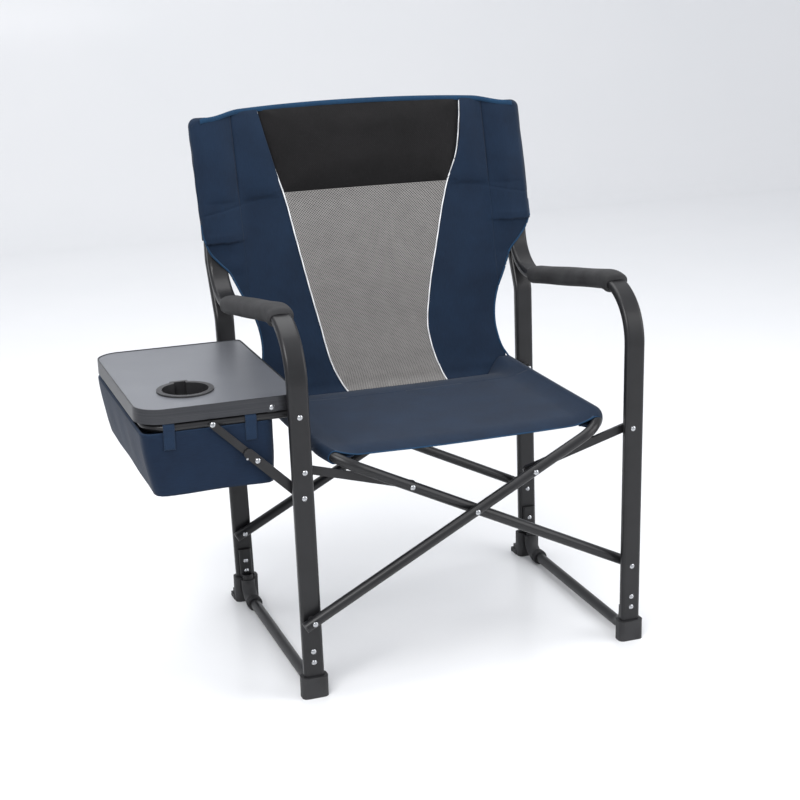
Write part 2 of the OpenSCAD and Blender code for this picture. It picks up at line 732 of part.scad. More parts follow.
module cooler_bag() made([0.09, 0.15, 0.24]) difference() {
    translate([bag_x[0], bag_y[0], bag_z])
        cube([bag_x[1] - bag_x[0], bag_y[1] - bag_y[0], bag_top - bag_z]);
    translate([bag_x[0] + bag_wall, bag_y[0] + bag_wall, bag_z + bag_wall])
        cube([bag_x[1] - bag_x[0] - 2 * bag_wall, bag_y[1] - bag_y[0] - 2 * bag_wall, bag_top - bag_z]);
}

// Webbing that hangs the bag on the loop
module bag_tab(x, y, wall_y) {
    translate([x - 9, y, hinge_z]) rotate([0, 90, 0]) difference() {
        cylinder(r = loop_r + 1.3, h = 18);
        translate([0, 0, -1]) cylinder(r = loop_r + 0.2, h = 20);
    }
    translate([x - 9, wall_y, bag_top - 24]) cube([18, 1.2, 26]);
}

module bag_tabs() made(navy) for (x = [-500, -420]) {
    bag_tab(x, loop_front_y, bag_y[0] - 1.4);
    bag_tab(x, loop_rear_y, bag_y[1] + 0.2);
}

// ---------------------------------------------------------------- parts

side_tube_left();
side_tube_right();
rear_leg_left();
rear_leg_right();
floor_rail_left();
floor_rail_right();
front_foot_left();
front_foot_right();
rear_boot_left();
rear_boot_right();
tube_plugs_left();
tube_plugs_right();
arm_pad_left();
arm_pad_right();
frame_rivets_left();
frame_rivets_right();
lower_pivots_left();
lower_pivots_right();
pivot_spacers_left();
pivot_spacers_right();
link_pivots_left();
link_pivots_right();
cross_tube_a();
cross_tube_b();
cross_plugs_a();
cross_plugs_b();
centre_pivots();
centre_washers();
link_studs_a();
link_studs_b();
link_front_a();
link_rear_a();
link_front_b();
link_rear_b();
link_tails_a();
link_tails_b();
seat_sling();
back_sling();
headrest_pad();
mesh_panel();
piping();
table_board();
table_band();
cup_holder();
table_loop();
table_brackets();
table_rivets();
table_pivots();
brace_lower_front();
brace_lower_rear();
brace_upper_front();
brace_upper_rear();
brace_elbows();
brace_pivots();
brace_studs();
cooler_bag();
bag_tabs();

module side_tube_left() made(frame_black) side_tube(left);
module side_tube_right() made(frame_black) side_tube(right);
module rear_leg_left() made(frame_black) rear_leg(left);
module rear_leg_right() made(frame_black) rear_leg(right);
module floor_rail_left() made(frame_black) floor_rail(left);
module floor_rail_right() made(frame_black) floor_rail(right);
module front_foot_left() made(rubber_black) front_foot(left);
module front_foot_right() made(rubber_black) front_foot(right);
module rear_boot_left() made(rubber_black) rear_boot(left);
module rear_boot_right() made(rubber_black) rear_boot(right);
module tube_plugs_left() made(rubber_black) tube_plugs(left);
module tube_plugs_right() made(rubber_black) tube_plugs(right);
module arm_pad_left() made(rubber_black) arm_pad(left);
module arm_pad_right() made(rubber_black) arm_pad(right);
module frame_rivets_left() made(zinc) frame_rivets(left);
module frame_rivets_right() made(zinc) frame_rivets(right);
module cross_tube_a() made(frame_black) cross_tube(left, a_front, a_rear);
module cross_tube_b() made(frame_black) cross_tube(right, b_front, b_rear);
module cross_plugs_a() made(rubber_black) cross_plugs(left, a_front, a_rear);
module cross_plugs_b() made(rubber_black) cross_plugs(right, b_front, b_rear);
module link_front_a() link(right, link_a_front_y);
module link_rear_a() link(right, link_rear_y);
module link_front_b() link(left, link_b_front_y);
module link_rear_b() link(left, link_rear_y);
module link_tails_a() link_tails(right, link_a_front_y);
module link_studs_a() link_studs(stud_x, a_front, a_rear);
module link_tails_b() link_tails(left, link_b_front_y);
module link_studs_b() link_studs(-stud_x, b_front, b_rear);
module brace_lower_front() brace_lower(lower_front_y);
module brace_lower_rear() brace_lower(lower_rear_y);
module brace_upper_front() brace_upper(upper_front_y);
module brace_upper_rear() brace_upper(upper_rear_y);
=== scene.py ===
"""Folding camp chair with a side table and a cooler bag: cloth, foam and light round a metal frame."""

# %% [markdown]
# The frame of this chair is already built as exact solids: tubes, rivets, table and feet. This
# lesson loads it and adds what a solid modeller can't do well: stretched cloth, padding, foam,
# sewn edges, and the finish of each surface. Everything is in metres.

import math

import bmesh
import bpy
import numpy as np
from mathutils import Matrix, Vector


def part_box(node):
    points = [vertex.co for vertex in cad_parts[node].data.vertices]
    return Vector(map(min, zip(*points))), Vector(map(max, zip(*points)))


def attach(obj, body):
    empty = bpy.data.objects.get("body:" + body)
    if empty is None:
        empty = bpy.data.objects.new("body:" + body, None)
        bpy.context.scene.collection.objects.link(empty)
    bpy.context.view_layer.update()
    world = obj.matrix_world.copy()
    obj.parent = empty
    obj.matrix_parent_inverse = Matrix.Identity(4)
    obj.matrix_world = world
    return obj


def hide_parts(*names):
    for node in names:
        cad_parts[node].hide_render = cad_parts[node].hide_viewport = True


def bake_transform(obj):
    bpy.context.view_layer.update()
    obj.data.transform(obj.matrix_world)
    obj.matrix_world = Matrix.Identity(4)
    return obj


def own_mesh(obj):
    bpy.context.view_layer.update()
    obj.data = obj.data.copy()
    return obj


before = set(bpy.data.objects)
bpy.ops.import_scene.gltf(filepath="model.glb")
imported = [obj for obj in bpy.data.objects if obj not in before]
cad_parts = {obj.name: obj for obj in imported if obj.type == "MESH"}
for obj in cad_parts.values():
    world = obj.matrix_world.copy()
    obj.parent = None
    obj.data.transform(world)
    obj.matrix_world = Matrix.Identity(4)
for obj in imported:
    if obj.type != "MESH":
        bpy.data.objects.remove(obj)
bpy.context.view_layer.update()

# %% [markdown]
# All cloth is worked out in the chair's own millimetres: X is zero half way between the legs, Y
# is zero at the front feet and Z is zero at the floor. The front feet tell where that zero is in
# the loaded frame, so one function turns chair millimetres into scene metres.

# %% From chair millimetres to scene metres
FOOT_OFFSET = 0.0004  # the front feet are centred this far behind the chair's zero
foot_l, foot_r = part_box("front_foot_left"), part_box("front_foot_right")
zero_x = (foot_l[0][0] + foot_r[1][0]) / 2
zero_y = (foot_l[0][1] + foot_l[1][1]) / 2 - FOOT_OFFSET
ZERO = np.array([zero_x, zero_y, 0.0])


def scene_m(points):
    """Scene metres = chair millimetres / 1000 + the place of the chair's zero."""
    return np.asarray(points, float) / 1000 + ZERO


print("chair zero at", ZERO)

# %% [markdown]
# The camera looks slightly down at the chair from its front and table side, with a lens long
# enough to keep the legs nearly parallel. It is placed first, because every later choice of
# detail depends on how large a thread or a rivet is in the picture.

# %% Camera
AZ, EL, ROLL = math.radians(-20.298), math.radians(16.325), math.radians(-1.132)
back_dir = Vector((math.sin(AZ) * math.cos(EL), -math.cos(AZ) * math.cos(EL), math.sin(EL)))
side_dir = (-back_dir).cross(Vector((0, 0, 1))).normalized()
up_dir = side_dir.cross(-back_dir)
side_rolled = math.cos(ROLL) * side_dir + math.sin(ROLL) * up_dir
up_rolled = math.cos(ROLL) * up_dir - math.sin(ROLL) * side_dir
AIM, DISTANCE = [0.378, 260.449, 420.351], 3.0482
eye = Vector(scene_m(AIM)) + back_dir * DISTANCE
camera_data = bpy.data.cameras.new("camera")
camera = bpy.data.objects.new("camera", camera_data)
bpy.context.scene.collection.objects.link(camera)
turned = Matrix((side_rolled, up_rolled, back_dir)).transposed().to_4x4()
camera.matrix_world = Matrix.Translation(eye) @ turned
camera_data.sensor_width = 36
camera_data.lens = 73.965
camera_data.shift_x = -0.0268
camera_data.shift_y = 0.0021
camera_data.clip_end = 50
bpy.context.scene.camera = camera
print("camera at", tuple(round(c, 3) for c in eye))

# %% [markdown]
# A shader is arithmetic on numbers that vary over a surface. Wrapping a node's socket in a small
# class lets that arithmetic be written as ordinary expressions: adding two wrapped sockets adds
# a Math node. Colours go through Mix nodes, because a Math node would turn them grey.


# %% Shader arithmetic
class Wire:
    """One socket of a node tree. The operators add Math nodes and return the new socket."""

    def __init__(self, tree, socket):
        self.tree, self.socket = tree, socket

    def node(self, kind, settings=None, out=0, **inputs):
        """Adds a node of that kind, with its settings, then its inputs by socket number or name."""
        made = self.tree.nodes.new(kind)
        for key, value in (settings or {}).items():
            if key == "stops":
                ramp = made.color_ramp
                while len(ramp.elements) < len(value):
                    ramp.elements.new(0.5)
                for element, (at, colour) in zip(ramp.elements, value):
                    element.position, element.color = at, (*colour, 1)
            else:
                setattr(made, key, value)
        for key, value in inputs.items():
            by_number = key[0] == "i" and key[1:].isdigit()
            socket = made.inputs[int(key[1:]) if by_number else key.replace("_", " ")]
            if isinstance(value, Wire):
                self.tree.links.new(value.socket, socket)
            else:
                socket.default_value = value
        return Wire(self.tree, made.outputs[out])

    def math(self, operation, *others):
        numbered = {f"i{k}": value for k, value in enumerate((self, *others))}
        return self.node("ShaderNodeMath", {"operation": operation}, **numbered)

    def __add__(self, other):
        return self.math("ADD", other)

    __radd__ = __add__

    def __mul__(self, other):
        return self.math("MULTIPLY", other)

    __rmul__ = __mul__

    def __sub__(self, other):
        return self.math("SUBTRACT", other)

    def __rsub__(self, other):
        return (self * -1.0) + other

    def __truediv__(self, other):
        return self.math("DIVIDE", other)

    def __gt__(self, other):
        return self.math("GREATER_THAN", other)

    def clamp(self, low, high):
        """0 below low, 1 above high, straight in between."""
        return self.node("ShaderNodeMapRange", {}, Value=self, From_Min=low, From_Max=high)

    def colours(self, dark, light):
        """Mixes two colours by this factor."""
        mix = self.tree.nodes.new("ShaderNodeMix")
        mix.data_type = "RGBA"
        self.tree.links.new(self.socket, mix.inputs[0])
        for socket, value in ((mix.inputs[6], dark), (mix.inputs[7], light)):
            if isinstance(value, Wire):
                self.tree.links.new(value.socket, socket)
            else:
                socket.default_value = (*value, 1)
        return Wire(self.tree, mix.outputs[2])


def finish_material(name, **sockets):
    """A new material with its shader's even values set. Returns (material, shader, wire)."""
    material = bpy.data.materials.new(name)
    material.use_nodes = True
    tree = material.node_tree
    shader = tree.nodes["Principled BSDF"]
    for key, value in sockets.items():
        shader.inputs[key.replace("_", " ")].default_value = value
    return material, shader, Wire(tree, None)


def connect(shader, wire, **inputs):
    """Links wires to the shader's sockets."""
    for key, value in inputs.items():
        wire.tree.links.new(value.socket, shader.inputs[key.replace("_", " ")])


def noise(w, coordinates, scale, detail=3.0, roughness=0.55):
    """Soft random blobs from 0 to 1, about 1/scale metres apart."""
    return w.node("ShaderNodeTexNoise", {}, Vector=coordinates, Scale=scale, Detail=detail,
                  Roughness=roughness)


def bump(w, height, distance, strength=1.0):
    """A normal from a height. distance is how high a 1 stands, in metres."""
    return w.node("ShaderNodeBump", {}, Height=height, Distance=distance, Strength=strength)


def object_coordinates(w):
    return w.node("ShaderNodeTexCoord", out=3)


def cloth_coordinates(w):
    """The cloth's own (u, v) in metres as two wires."""
    uv = w.node("ShaderNodeUVMap", {"uv_map": "cloth"})
    split = w.tree.nodes.new("ShaderNodeSeparateXYZ")
    w.tree.links.new(uv.socket, split.inputs[0])
    return uv, Wire(w.tree, split.outputs[0]), Wire(w.tree, split.outputs[1])


# %% [markdown]
# The tubes are painted with a satin black powder. Powder paint is never mirror smooth: it has a
# fine skin like orange peel, so a little noise goes into both the roughness and the bump.


# %% Paint, plating, rubber and nylon
def black_paint():
    material, shader, w = finish_material("black_powder_coat", Metallic=0.0, Coat_Weight=0.14,
                                          Coat_Roughness=0.20, Specular_IOR_Level=0.32)
    at = object_coordinates(w)
    peel, blotch = noise(w, at, 900.0, 2.0), noise(w, at, 14.0)
    colour = blotch.clamp(0.3, 0.75).colours((0.0055, 0.0055, 0.0062), (0.0115, 0.0115, 0.0130))
    connect(shader, w, Base_Color=colour, Roughness=0.33 + blotch * 0.16,
            Normal=bump(w, peel, 0.00008, 0.5))
    return material


def zinc_plate():
    material, shader, w = finish_material("zinc_plate", Metallic=1.0)
    at = object_coordinates(w)
    grain = noise(w, at, 500.0, 4.0)
    colour = grain.clamp(0.3, 0.7).colours((0.30, 0.31, 0.32), (0.50, 0.51, 0.53))
    connect(shader, w, Base_Color=colour, Roughness=0.18 + grain * 0.16,
            Normal=bump(w, grain, 0.00005, 0.4))
    return material


def moulded(name, dark, light, rough, grain_scale, depth):
    """Moulded rubber or plastic: a fine even grain with softer blotches of wear."""
    material, shader, w = finish_material(name)
    at = object_coordinates(w)
    grain, blotch = noise(w, at, grain_scale, 3.0), noise(w, at, 22.0)
    connect(shader, w, Base_Color=blotch.clamp(0.3, 0.72).colours(dark, light),
            Roughness=rough + grain * 0.14, Normal=bump(w, grain, depth, 0.7))
    return material


PAINT, ZINC = black_paint(), zinc_plate()
RUBBER = moulded("foot_rubber", (0.010, 0.010, 0.011), (0.024, 0.024, 0.026), 0.55, 700.0, 0.00010)
NYLON = moulded("black_nylon", (0.012, 0.012, 0.013), (0.026, 0.026, 0.028), 0.42, 1200.0, 0.00004)
CUP = moulded("cup_plastic", (0.014, 0.014, 0.015), (0.026, 0.026, 0.028), 0.36, 1500.0, 0.00005)
FOAM = moulded("arm_foam", (0.014, 0.014, 0.015), (0.034, 0.034, 0.036), 0.80, 650.0, 0.00035)
print("plain finishes:", [m.name for m in (PAINT, ZINC, RUBBER, NYLON, CUP, FOAM)])

# %% [markdown]
# The table top is a thin grey laminate with a soft sheen, and its edge is a dark anodised strip
# drawn through a die, which leaves fine lines along it. Both are lit by broad reflections, so
# their roughness matters more than their colour.


# %% Table finishes
def laminate():
    material, shader, w = finish_material("grey_laminate", Metallic=0.35, Coat_Weight=0.15,
                                          Coat_Roughness=0.25)
    at = object_coordinates(w)
    speck, cloud = noise(w, at, 1400.0, 2.0), noise(w, at, 5.0)
    tone = (cloud * 0.6 + speck * 0.4).clamp(0.3, 0.7)
    colour = tone.colours((0.125, 0.131, 0.147), (0.180, 0.187, 0.205))
    connect(shader, w, Base_Color=colour, Roughness=0.34 + speck * 0.10,
            Normal=bump(w, speck, 0.00003, 0.4))
    return material


def anodised():
    material, shader, w = finish_material("dark_anodised", Metallic=0.85)
    at = object_coordinates(w)
    stretched = w.node("ShaderNodeMapping", {}, Vector=at, Scale=(6.0, 6.0, 2400.0))
    drawn = noise(w, stretched, 1.0, 3.0)
    colour = drawn.clamp(0.25, 0.75).colours((0.034, 0.035, 0.039), (0.072, 0.074, 0.080))
    connect(shader, w, Base_Color=colour, Roughness=0.32 + drawn * 0.16,
            Normal=bump(w, drawn, 0.00004, 0.5))
    return material


LAMINATE, ANODISED = laminate(), anodised()

# %% [markdown]
# Woven polyester is two sets of threads that pass over and under each other. A wave along each
# direction, one shifted by half a thread on every other row, gives the little raised squares of
# a plain weave. The waves read the cloth's own coordinates in metres, so threads keep their size
# and bend with the cloth. Broad noise adds the faint unevenness of dyed cloth.


# %% Cloth finishes
def weave_height(w, u, v, pitch):
    """Raised squares of a plain weave: sin(u) times sin(v), 0 to 1, threads pitch metres apart."""
    k = math.pi / pitch
    return (u * k).math("SINE") * (v * k).math("SINE") * 0.5 + 0.5


def woven(name, dark, light, pitch=0.0011, rough=0.78, depth=0.00022, sheen=0.06):
    material, shader, w = finish_material(name, Sheen_Weight=sheen, Sheen_Roughness=0.5,
                                          Specular_IOR_Level=0.22)
    uv, u, v = cloth_coordinates(w)
    threads = weave_height(w, u, v, pitch)
    long_way = w.node("ShaderNodeMapping", {}, Vector=uv, Scale=(900.0, 60.0, 1.0))
    slub = noise(w, long_way, 1.0, 2.0)
    cloud = noise(w, object_coordinates(w), 16.0, 4.0)
    # Colour: the raised squares of the weave are painted lighter and its hollows darker, which is painted
    # shade; slub and cloud add the dye's real uneven tone.
    tone = (threads * 0.30 + slub * 0.40 + cloud * 0.55).clamp(0.38, 0.88)
    connect(shader, w, Base_Color=tone.colours(dark, light), Roughness=rough + threads * 0.12,
            Normal=bump(w, threads * 0.7 + slub * 0.5, depth, 0.8))
    return material


def air_mesh():
    """Open knit: dark round holes in offset rows over a pale ground."""
    material, shader, w = finish_material("air_mesh", Sheen_Weight=0.1, Sheen_Roughness=0.6)
    _, u, v = cloth_coordinates(w)
    pitch, squash = 0.0042, 0.6
    row = v / (pitch * squash)
    shift = row.math("FLOOR").math("MODULO", 2.0) * 0.5
    across = (u / pitch + shift).math("FRACT") - 0.5
    along = (row.math("FRACT") - 0.5) * squash
    away = (across * across + along * along).math("SQRT")
    thread = away.clamp(0.17, 0.30)
    cloud = noise(w, object_coordinates(w), 40.0)
    ground = cloud.colours((0.165, 0.157, 0.150), (0.245, 0.235, 0.226))
    connect(shader, w, Base_Color=thread.colours((0.006, 0.006, 0.006), ground),
            Roughness=0.85 - thread * 0.15, Normal=bump(w, thread, 0.0005, 0.9))
    return material


def twisted():
    """White piping: slanting strands round a cord, with painted shade in the grooves."""
    material, shader, w = finish_material("white_piping")
    _, u, v = cloth_coordinates(w)
    strand = ((u * 180.0 + v * 1100.0).math("SINE")) * 0.5 + 0.5
    # The colour is painted shade: grey in the grooves between the strands, white on their tops.
    connect(shader, w, Base_Color=strand.colours((0.55, 0.56, 0.58), (0.86, 0.87, 0.88)),
            Roughness=0.7 - strand * 0.1, Normal=bump(w, strand, 0.0002, 0.6))
    return material


NAVY = woven("navy_cloth", (0.0016, 0.0075, 0.0205), (0.0055, 0.0185, 0.0440))
HEM = woven("navy_hem", (0.0045, 0.023, 0.056), (0.012, 0.052, 0.112), pitch=0.0013)
BAG = woven("bag_cloth", (0.0015, 0.0070, 0.0205), (0.0048, 0.0170, 0.0420), pitch=0.0012)
STRAP = woven("webbing", (0.0036, 0.012, 0.030), (0.010, 0.027, 0.060), pitch=0.0022, depth=0.0005)
BLACK = woven("headrest_weave", (0.0010, 0.0009, 0.0010), (0.0080, 0.0072, 0.0080), pitch=0.0019,
              depth=0.0004)
MESH, PIPING = air_mesh(), twisted()
print("cloth finishes:", [m.name for m in (NAVY, HEM, BAG, STRAP, BLACK, MESH, PIPING)])

# %% [markdown]
# The solid parts of the frame keep their exact shape and only take a finish.

# %% Finish of the solid parts
for name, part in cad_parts.items():
    if any(word in name for word in ("rivet", "pivots", "studs", "tails", "elbows")):
        finish = ZINC
    elif "foot" in name or "boot" in name:
        finish = RUBBER
    elif any(word in name for word in ("spacer", "washer", "plug")):
        finish = NYLON
    elif name == "cup_holder":
        finish = CUP
    elif name == "table_board":
        finish = LAMINATE
    elif name == "table_band":
        finish = ANODISED
    else:
        finish = PAINT
    part.data.materials.clear()
    part.data.materials.append(finish)
print(len(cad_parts), "solid parts finished")

# %% [markdown]
# Each piece of cloth is a surface: a grid of points worked out from two numbers, one across the
# cloth and one along it. The same helper turns any such grid into a mesh and stores the distance
# along the grid, in metres, as the cloth's coordinates for the weave.


# %% From a grid of points to a mesh
def lengths(points, axis):
    """Running length along one direction of a grid, taken on its middle line."""
    middle = np.take(points, points.shape[1 - axis] // 2, axis=1 - axis)
    return np.concatenate(([0], np.cumsum(np.linalg.norm(np.diff(middle, axis=0), axis=1)))) / 1000


def surface(name, points, material, around=False, flip=False):
    """A mesh from a grid of chair-millimetre points: face (i, j) joins its four neighbours.
    around closes the second direction."""
    rows, columns = points.shape[:2]
    ids = np.arange(rows * columns).reshape(rows, columns)
    nxt = np.roll(ids, -1, axis=1) if around else ids[:, 1:]
    now = ids if around else ids[:, :-1]
    quads = np.stack((now[:-1], now[1:], nxt[1:], nxt[:-1]), axis=-1).reshape(-1, 4)
    if flip:
        quads = quads[:, ::-1]
    u, v = lengths(points, 0), lengths(points, 1)
    if around:
        v = np.append(v, v[-1] + np.linalg.norm(points[0, 0] - points[0, -1]) / 1000)
    r, c = np.meshgrid(np.arange(rows - 1), np.arange(now.shape[1]), indexing="ij")
    corner = np.stack((u[r], v[c], u[r + 1], v[c], u[r + 1], v[c + 1], u[r], v[c + 1]), axis=-1)
    corner = corner.reshape(-1, 4, 2)
    if flip:
        corner = corner[:, ::-1]
    return mesh_piece(name, points.reshape(-1, 3), quads, corner.reshape(-1), material)


def mesh_piece(name, points, quads, uv, material):
    """Writes vertices, faces and cloth coordinates with foreach_set, and links the object."""
    mesh = bpy.data.meshes.new(name)
    mesh.from_pydata(scene_m(points), [], quads.tolist())
    mesh.shade_smooth()
    layer = mesh.uv_layers.new(name="cloth")
    layer.data.foreach_set("uv", np.asarray(uv, np.float32).ravel())
    mesh.materials.append(material)
    mesh.update()
    piece = bpy.data.objects.new(name, mesh)
    bpy.context.scene.collection.objects.link(piece)
    return piece


def thicken(piece, mm, offset=0.0):
    """Gives a sheet its thickness. offset 0 keeps the grid in the middle, -1 makes it the front side."""
    solid = piece.modifiers.new("thickness", "SOLIDIFY")
    solid.thickness, solid.offset, solid.use_even_offset = mm / 1000, offset, True
    return piece


def smooth_step(x, low, high):
    t = np.clip((x - low) / (high - low), 0, 1)
    return t * t * (3 - 2 * t)


def curve_through(x, xs, ys):
    """A smooth curve through given points (cubic Hermite with slopes from its neighbours)."""
    x, xs, ys = np.asarray(x, float), np.asarray(xs, float), np.asarray(ys, float)
    slope = np.gradient(ys, xs)
    k = np.clip(np.searchsorted(xs, x) - 1, 0, len(xs) - 2)
    h = xs[k + 1] - xs[k]
    t = np.clip((x - xs[k]) / h, 0, 1)
    return ((1 + 2 * t) * (1 - t) ** 2 * ys[k] + t * (1 - t) ** 2 * h * slope[k]
            + t * t * (3 - 2 * t) * ys[k + 1] + t * t * (t - 1) * h * slope[k + 1])


# %% [markdown]
# The seat is one piece of cloth pulled tight between two tubes. At each side it wraps round its
# rail and is sewn back to itself underneath, which makes the sleeve that shows as a round edge.
# Each front corner of a rail bends inwards and down, so the sleeve follows that bend.

# %% Seat
RAIL_X, RAIL_Z, TILT, RAIL_BEND = 257.97, 421.84, math.radians(26.4), 60.0
SLEEVE = 10.9


def rail_centre(y):
    """Centre of the seat rail at depth y: level, then along its bend, in the plane of the cross arm."""
    near, far = 68.0, 414.0
    off = np.clip(np.where(y < near, near - y, y - far), 0, RAIL_BEND)
    drop = RAIL_BEND - np.sqrt(RAIL_BEND**2 - off**2)
    return RAIL_X - drop * math.cos(TILT), RAIL_Z - drop * math.sin(TILT)


def seat_section(y, n=240):
    """Across the seat at depth y: seam, round the left rail, over to the right rail, round it, seam.
    The right half is the mirror image of the left."""
    cx, cz = rail_centre(y)
    turn = np.radians(np.linspace(-84, -282, 46))
    wrap = np.stack((-cx + SLEEVE * np.cos(turn), cz + SLEEVE * np.sin(turn)), axis=1)
    seam = np.array([[-cx + 34.0, cz - 1.6], [-cx + 26.0, cz - 3.4], [-cx + 14.0, cz - 7.8]])
    x = np.linspace(-cx + 8, 0, 60)
    inside = np.clip((x + cx) / 46.0, 0, 1)
    z = cz + SLEEVE * (1 - inside) ** 1.6 + 0.4 - 3.2 * np.sin(np.clip((x + cx) / cx, 0, 1) * math.pi / 2)
    half = np.vstack((seam, wrap, np.stack((x, z), axis=1)))
    whole = np.vstack((half, (half * [-1, 1])[::-1][1:]))
    walk = np.concatenate(([0], np.cumsum(np.linalg.norm(np.diff(whole, axis=0), axis=1))))
    even = np.linspace(0, walk[-1], n)
    across, up = np.interp(even, walk, whole[:, 0]), np.interp(even, walk, whole[:, 1])
    return np.stack((across, np.full(n, y), up), axis=1)


def ripple(points, wave, height):
    """Faint pull lines: z grows by height times sin(x / wave) times cos(y / (1.7 wave))."""
    points[..., 2] += height * np.sin(points[..., 0] / wave) * np.cos(points[..., 1] / (wave * 1.7))
    return points


SEAT_FRONT, SLEEVE_END = 27.0, 346.0
PULL_WAVE, PULL_HEIGHT = 37.0, 0.25
seat_rows = np.array([seat_section(y) for y in np.linspace(SEAT_FRONT, SLEEVE_END, 110)])
seat_rows = ripple(seat_rows.transpose(1, 0, 2).copy(), PULL_WAVE, PULL_HEIGHT)
CLOTH_MM = 1.8
seat = thicken(surface("seat_cloth", seat_rows, NAVY), CLOTH_MM)
print("seat cloth", len(seat.data.vertices), "points")


def seat_top(x):
    """Height of the seat behind its sleeves: round over the rail, easing to nearly flat inside."""
    x = np.abs(x)
    inside = np.clip((RAIL_X - x) / 46.0, 0, 1)
    sag = 3.2 * np.sin(np.clip(1 - x / RAIL_X, 0, 1) * math.pi / 2)
    flat = SLEEVE * (1 - inside) ** 1.6 + 0.4 - sag
    round_part = np.sqrt(np.clip(SLEEVE**2 - (x - RAIL_X) ** 2, 0, None))
    return RAIL_Z + np.where(x > RAIL_X - 6, np.minimum(round_part, SLEEVE), flat)


def crease_height(x):
    """Height where the seat turns up into the back: low in the middle, over the rails outside."""
    return 402.0 + 31.0 * smooth_step(np.abs(x), 205, 246)


def seam_tube(name, line, radius, material, sides=8):
    """A thin round bar along a line: at each point, a ring of that many sides, square to the line."""
    line = np.asarray(line, float)
    ahead = np.gradient(line, axis=0)
    ahead /= np.linalg.norm(ahead, axis=1)[:, None]
    helper = np.where(np.abs(ahead[:, 2:3]) > 0.9, [[1.0, 0, 0]], [[0, 0, 1.0]])
    side = np.cross(ahead, helper)
    side /= np.linalg.norm(side, axis=1)[:, None]
    other = np.cross(side, ahead)
    angle = np.linspace(0, 2 * math.pi, sides, endpoint=False)
    c, s = np.cos(angle)[None, :, None], np.sin(angle)[None, :, None]
    ring = line[:, None] + radius * (c * side[:, None] + s * other[:, None])
    tube = surface(name, ring, material, around=True)
    cap_ends(tube, len(line), sides)
    return tube


def cap_ends(tube, rows, sides):
    """Closes both ends of a tube and points its faces outwards."""
    work = bmesh.new()
    work.from_mesh(tube.data)
    work.verts.ensure_lookup_table()
    for first in (0, (rows - 1) * sides):
        work.faces.new([work.verts[first + k] for k in range(sides)])
    bmesh.ops.recalc_face_normals(work, faces=work.faces)
    work.to_mesh(tube.data)
    work.free()


# %% [markdown]
# The front edge of the seat is bound with a narrow folded tape, a little brighter than the
# cloth. It is a flat strip folded over the edge, so its section is a long thin loop.

# %% Seat hem and back edge
def binding(name, edge, inward, width, thick, material):
    """A tape folded over an edge: nine points round a thin loop, from the edge to width inwards."""
    edge, inward = np.asarray(edge, float), np.asarray(inward, float)
    ahead = np.gradient(edge, axis=0)
    ahead /= np.linalg.norm(ahead, axis=1)[:, None]
    face = np.cross(ahead, inward)
    face /= np.linalg.norm(face, axis=1)[:, None]
    fold, cut = [(-0.6, 0), (-0.35, 0.8), (0.2, 1)], [(width, 1), (width, 0.55)]
    loop = fold + cut + [(a, -b) for a, b in (fold[1:] + cut)[::-1]]
    ring = np.stack([edge + a * inward + b * thick * face for a, b in loop], axis=1)
    piece = surface(name, ring, material, around=True)
    cap_ends(piece, len(edge), len(loop))
    return piece


front_line = seat_section(SEAT_FRONT, 200)
front_line = ripple(front_line[:, None].copy(), PULL_WAVE, PULL_HEIGHT)[6:-6, 0]
rearwards = np.tile([0, 1.0, 0], (len(front_line), 1))
seat_hem = binding("seat_hem", front_line, rearwards, 7.5, 1.25, HEM)
print("seat hem", len(seat_hem.data.vertices), "points")

# %% [markdown]
# The back and the end of the seat are one more stretch of the same cloth. Seen from the side it
# rises from the crease behind the seat and leans back with the uprights. Seen from the front it
# narrows to a waist above the armrests' ends and widens again to the uprights. Both outlines are
# smooth curves through a few chosen points, each given as (height, place), in millimetres.

# %% Outline of the back
BACK_Y = ((400, 436), (408, 446), (428, 456), (480, 470), (590, 497), (700, 522), (790, 545.5),
          (930, 583), (950, 588.5))
BACK_EDGE = ((400, 263), (432, 262), (447, 253), (480, 243), (530, 243), (568, 254), (600, 270),
             (625, 281), (645, 291), (662, 307), (680, 322), (700, 331), (740, 335), (900, 334), (950, 332))
PIPE_LEFT = ((400, 84), (436, 101), (534, 122), (617, 138), (700, 153), (782, 168), (804, 174),
             (880, 193), (950, 206))
PIPE_RIGHT = ((400, 122), (449, 106), (499, 99), (573, 110), (660, 133), (745, 157), (782, 170),
              (827, 191), (892, 206), (950, 213))


def table_curve(rows, z):
    xs, ys = np.array(rows, float).T
    return curve_through(z, xs, ys)


def top_of_back(x):
    """Height of the top edge: level in the middle, falling a little to rounded corners."""
    x = np.abs(x)
    corner = np.clip(x - 308, 0, 27)
    rounding = (27 - np.sqrt(27**2 - corner**2 + 1e-6)) * 0.8
    return 946.5 - 7.0 * (x / 240.0) ** 2.2 - 6.0 * smooth_step(x, 238, 300) - rounding


